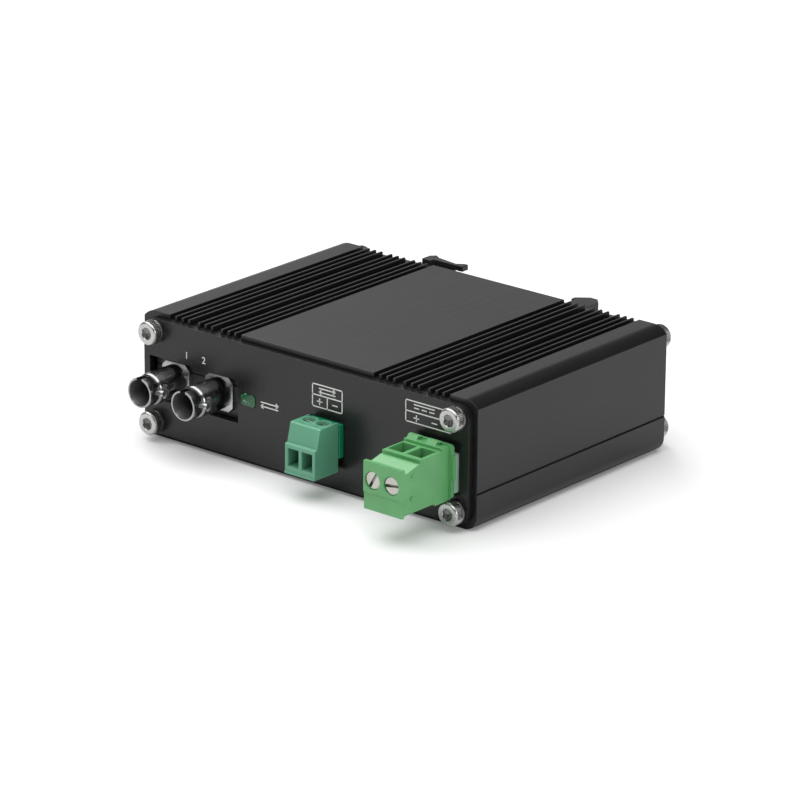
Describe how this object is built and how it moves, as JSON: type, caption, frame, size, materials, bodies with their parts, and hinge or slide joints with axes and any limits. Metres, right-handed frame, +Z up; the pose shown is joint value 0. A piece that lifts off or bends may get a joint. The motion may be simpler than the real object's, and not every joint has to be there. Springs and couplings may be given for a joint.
{
  "type": "fibre media converter",
  "caption": "Data to fibre media converter in a ribbed black aluminium case, with bayonet fibre ports, pluggable green screw terminals and a sprung rail clip at the back.",
  "frame": {"origin": "middle of the case's underside, on the surface it rests on", "axes": "+Z up, -Y out of the front panel with the connectors, +X to the right as seen from the front"},
  "size_m": [0.094, 0.0933, 0.0289],
  "materials": {
    "case_black": "black anodised, satin",
    "screw_steel": "bright stainless",
    "board_laminate": "solder mask over glass laminate",
    "transceiver_black": "moulded, satin",
    "port_nickel": "nickel plated",
    "sleeve_bronze": "turned bronze",
    "tinned_pins": "tin plated",
    "light_pipe_clear": "clear green tint",
    "led_lens": "moulded lens",
    "serial_header_green": "moulded",
    "serial_plug_green": "moulded",
    "power_header_green": "moulded",
    "power_plug_green": "moulded",
    "clamp_steel": "zinc plated",
    "module_black": "potted case",
    "ferrite_grey": "ferrite and wire",
    "capacitor_can": "aluminium can",
    "chip_black": "moulded epoxy",
    "fuse_yellow": "dipped coating",
    "clip_nylon": "moulded nylon",
    "spring_steel": "spring wire",
    "clip_screw_black": "black oxide"
  },
  "bodies": {
    "case": {"upper_shell": "case_black", "lower_shell": "case_black", "front_panel": "case_black", "rear_panel": "case_black", "front_panel_screws": "screw_steel", "front_lock_washers": "screw_steel", "rear_panel_screws": "screw_steel", "rear_lock_washers": "screw_steel", "circuit_board": "board_laminate", "transceiver_housing": "transceiver_black", "transmit_port": "port_nickel", "receive_port": "port_nickel", "alignment_sleeves": "sleeve_bronze", "transceiver_pins": "tinned_pins", "serial_header_pins": "tinned_pins", "power_header_pins": "tinned_pins", "light_pipe": "light_pipe_clear", "status_led": "led_lens", "serial_header": "serial_header_green", "power_header": "power_header_green", "power_module": "module_black", "inductor": "ferrite_grey", "smoothing_capacitors": "capacitor_can", "logic_chips": "chip_black", "isolators": "chip_black", "surge_diodes": "chip_black", "resettable_fuse": "fuse_yellow", "rail_clip_base": "clip_nylon", "latch_spring": "spring_steel", "rail_clip_screws": "clip_screw_black"},
    "serial_plug_unit": {"serial_plug": "serial_plug_green", "serial_plug_contacts": "tinned_pins"},
    "power_plug_unit": {"power_plug": "power_plug_green", "power_plug_contacts": "tinned_pins"},
    "rail_latch": {"rail_clip_latch": "clip_nylon"},
    "serial_screw_1": {"serial_clamp_screw_1": "clamp_steel"},
    "serial_cage_1": {"serial_clamp_cage_1": "clamp_steel"},
    "power_screw_1": {"power_clamp_screw_1": "clamp_steel"},
    "power_cage_1": {"power_clamp_cage_1": "clamp_steel"},
    "serial_screw_2": {"serial_clamp_screw_2": "clamp_steel"},
    "serial_cage_2": {"serial_clamp_cage_2": "clamp_steel"},
    "power_screw_2": {"power_clamp_screw_2": "clamp_steel"},
    "power_cage_2": {"power_clamp_cage_2": "clamp_steel"}
  },
  "joints": [
    {"name": "serial_plug_slide", "type": "slide", "parent": "case", "child": "serial_plug_unit", "axis": [0, -1, 0], "range_m": [0, 0.012]},
    {"name": "power_plug_slide", "type": "slide", "parent": "case", "child": "power_plug_unit", "axis": [0, -1, 0], "range_m": [0, 0.012]},
    {"name": "rail_latch_slide", "type": "slide", "parent": "case", "child": "rail_latch", "axis": [-1, 0, 0], "range_m": [0, 0.002], "stiffness_N_per_m": 1500, "springref_m": -0.002, "deforming": ["latch_spring"]},
    {"name": "serial_screw_1_turn", "type": "hinge", "parent": "serial_plug_unit", "child": "serial_screw_1", "pos_m": [0.00509, -0.03745, 0.0149], "axis": [0, 0, -1], "range_deg": [0, 1080.5]},
    {"name": "serial_cage_1_lift", "type": "slide", "parent": "serial_plug_unit", "child": "serial_cage_1", "axis": [0, 0, 1], "range_m": [0, 0.0012]},
    {"name": "power_screw_1_turn", "type": "hinge", "parent": "power_plug_unit", "child": "power_screw_1", "pos_m": [0.03421, -0.0493, 0.0137], "axis": [0, 1, 0], "range_deg": [0, 1440.5]},
    {"name": "power_cage_1_pull", "type": "slide", "parent": "power_plug_unit", "child": "power_cage_1", "axis": [0, -1, 0], "range_m": [0, 0.0018]},
    {"name": "serial_screw_2_turn", "type": "hinge", "parent": "serial_plug_unit", "child": "serial_screw_2", "pos_m": [0.0089, -0.03745, 0.0149], "axis": [0, 0, -1], "range_deg": [0, 1080.5]},
    {"name": "serial_cage_2_lift", "type": "slide", "parent": "serial_plug_unit", "child": "serial_cage_2", "axis": [0, 0, 1], "range_m": [0, 0.0012]},
    {"name": "power_screw_2_turn", "type": "hinge", "parent": "power_plug_unit", "child": "power_screw_2", "pos_m": [0.03929, -0.0493, 0.0137], "axis": [0, 1, 0], "range_deg": [0, 1440.5]},
    {"name": "power_cage_2_pull", "type": "slide", "parent": "power_plug_unit", "child": "power_cage_2", "axis": [0, -1, 0], "range_m": [0, 0.0018]}
  ],
  "couplings": [
    {"joint": "serial_screw_1_turn", "follows": "serial_cage_1_lift", "rad_per_m": 15708},
    {"joint": "power_screw_1_turn", "follows": "power_cage_1_pull", "rad_per_m": 13963},
    {"joint": "serial_screw_2_turn", "follows": "serial_cage_2_lift", "rad_per_m": 15708},
    {"joint": "power_screw_2_turn", "follows": "power_cage_2_pull", "rad_per_m": 13963}
  ]
}
